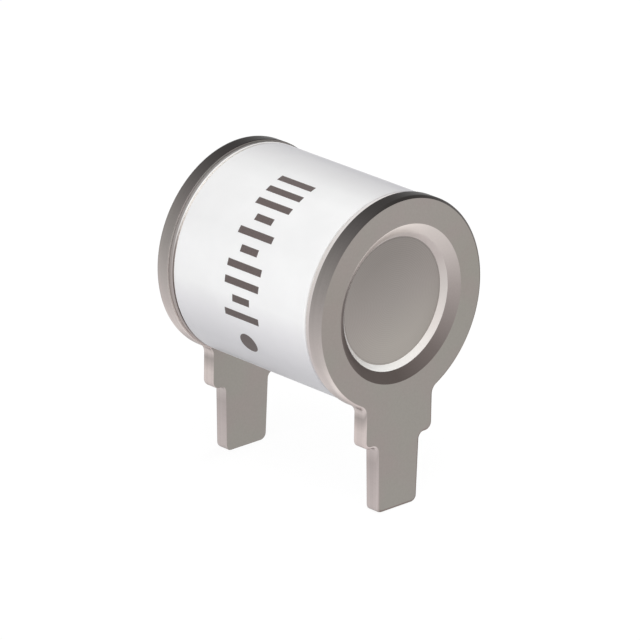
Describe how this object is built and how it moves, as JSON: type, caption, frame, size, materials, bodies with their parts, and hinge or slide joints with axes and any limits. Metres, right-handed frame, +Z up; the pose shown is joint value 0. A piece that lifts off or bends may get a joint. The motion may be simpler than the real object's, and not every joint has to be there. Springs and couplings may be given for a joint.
{
  "type": "gas discharge tube",
  "caption": "Gas discharge tube for surge protection: a white ceramic cylinder closed at its ends by stamped metal terminals with countersunk openings and shouldered solder pins.",
  "frame": {"origin": "under the middle of the tube, in the plane of the solder pins' tips", "axes": "+X along the tube's axis towards the front terminal, +Z up from the pin tips to the tube, Y across the terminals"},
  "size_m": [0.0128, 0.012, 0.0177],
  "materials": {
    "terminal_plate": "matte tin plate",
    "electrode_metal": "satin, silvery",
    "ceramic": "smooth, white",
    "braze": "dull silver braze",
    "activating_compound": "chalky",
    "graphite": "matte black",
    "print_ink": "matt fired-on ink, brown-black"
  },
  "bodies": {
    "root": {"ceramic_tube": "ceramic", "front_terminal": "terminal_plate", "rear_terminal": "terminal_plate", "front_electrode": "electrode_metal", "rear_electrode": "electrode_metal", "front_braze_ring": "braze", "rear_braze_ring": "braze", "front_activation": "activating_compound", "rear_activation": "activating_compound", "ignition_lines": "graphite"}
  },
  "joints": []
}
